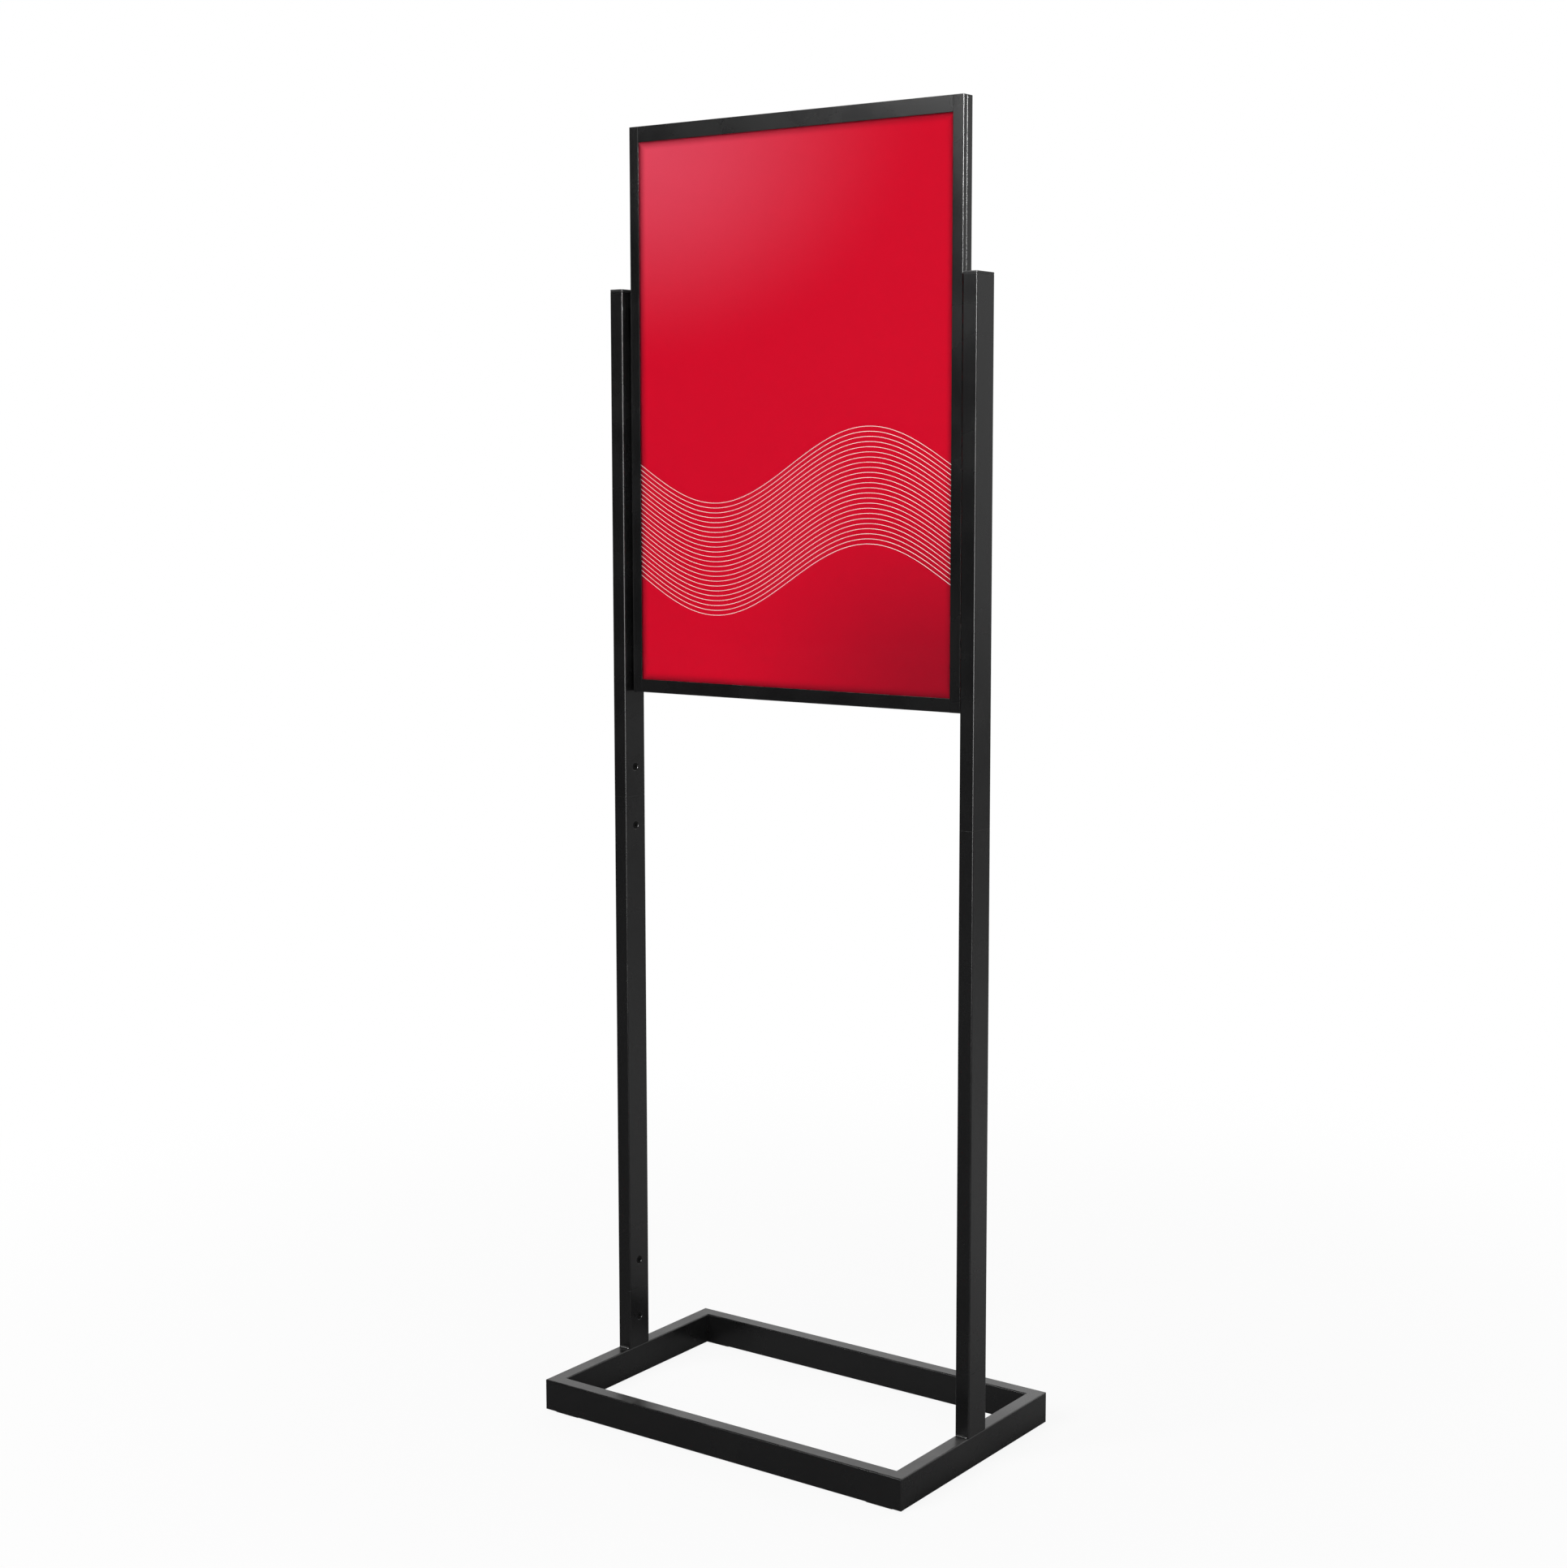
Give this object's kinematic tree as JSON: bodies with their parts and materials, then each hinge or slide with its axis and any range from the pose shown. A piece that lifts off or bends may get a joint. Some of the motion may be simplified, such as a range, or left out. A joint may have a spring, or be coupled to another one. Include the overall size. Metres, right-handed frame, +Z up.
{
  "type": "poster stand",
  "caption": "Free-standing steel poster stand: open tube base, two sectional posts and a slim frame that takes posters and clear covers from the top.",
  "frame": {"origin": "on the floor under the middle of the base", "axes": "+X along the poster to the right, +Y from the front to the back, +Z up"},
  "size_m": [0.556, 0.34, 1.657],
  "materials": {
    "black_powder_coat": "satin black powder coat",
    "black_plastic": "moulded black polyethylene",
    "black_screws": "black oxide",
    "zinc_steel": "zinc plated",
    "rubber_pad": "moulded rubber",
    "clear_sheet": "clear plastic film sheet",
    "poster_print": "printed coated paper",
    "divider_plastic": "black plastic board"
  },
  "bodies": {
    "stand": {"base_front_rail": "black_powder_coat", "base_rear_rail": "black_powder_coat", "base_left_rail": "black_powder_coat", "base_right_rail": "black_powder_coat", "post_stub_left": "black_powder_coat", "post_stub_right": "black_powder_coat", "lower_post_left": "black_powder_coat", "lower_post_right": "black_powder_coat", "upper_post_left": "black_powder_coat", "upper_post_right": "black_powder_coat", "foot_welds": "black_powder_coat", "channel_left": "black_powder_coat", "channel_right": "black_powder_coat", "channel_bottom": "black_powder_coat", "top_front_lip": "black_powder_coat", "top_rear_lip": "black_powder_coat", "rear_tube_left": "black_powder_coat", "rear_tube_right": "black_powder_coat", "rear_tube_bottom": "black_powder_coat", "rear_tube_top": "black_powder_coat", "spacer_lower_left": "black_powder_coat", "spacer_upper_left": "black_powder_coat", "spacer_lower_right": "black_powder_coat", "spacer_upper_right": "black_powder_coat", "spacer_welds": "black_powder_coat", "post_cap_left": "black_plastic", "post_cap_right": "black_plastic", "tube_plug_lower_left": "black_plastic", "tube_plug_upper_left": "black_plastic", "tube_plug_lower_right": "black_plastic", "tube_plug_upper_right": "black_plastic", "joint_screws": "black_screws", "joint_nuts": "zinc_steel", "sleeve_lower_left": "zinc_steel", "sleeve_upper_left": "zinc_steel", "sleeve_lower_right": "zinc_steel", "sleeve_upper_right": "zinc_steel", "pad_front_left": "rubber_pad", "pad_rear_left": "rubber_pad", "pad_front_right": "rubber_pad", "pad_rear_right": "rubber_pad"},
    "front_cover_body": {"front_cover": "clear_sheet"},
    "front_poster_body": {"front_poster": "poster_print"},
    "divider_board_body": {"divider_board": "divider_plastic"},
    "rear_poster_body": {"rear_poster": "poster_print"},
    "rear_cover_body": {"rear_cover": "clear_sheet"}
  },
  "joints": [
    {"name": "front_cover_lift", "type": "slide", "parent": "stand", "child": "front_cover_body", "axis": [0, 0, 1], "range_m": [0, 0.73]},
    {"name": "front_poster_lift", "type": "slide", "parent": "stand", "child": "front_poster_body", "axis": [0, 0, 1], "range_m": [0, 0.73]},
    {"name": "divider_board_lift", "type": "slide", "parent": "stand", "child": "divider_board_body", "axis": [0, 0, 1], "range_m": [0, 0.73]},
    {"name": "rear_poster_lift", "type": "slide", "parent": "stand", "child": "rear_poster_body", "axis": [0, 0, 1], "range_m": [0, 0.73]},
    {"name": "rear_cover_lift", "type": "slide", "parent": "stand", "child": "rear_cover_body", "axis": [0, 0, 1], "range_m": [0, 0.73]}
  ]
}
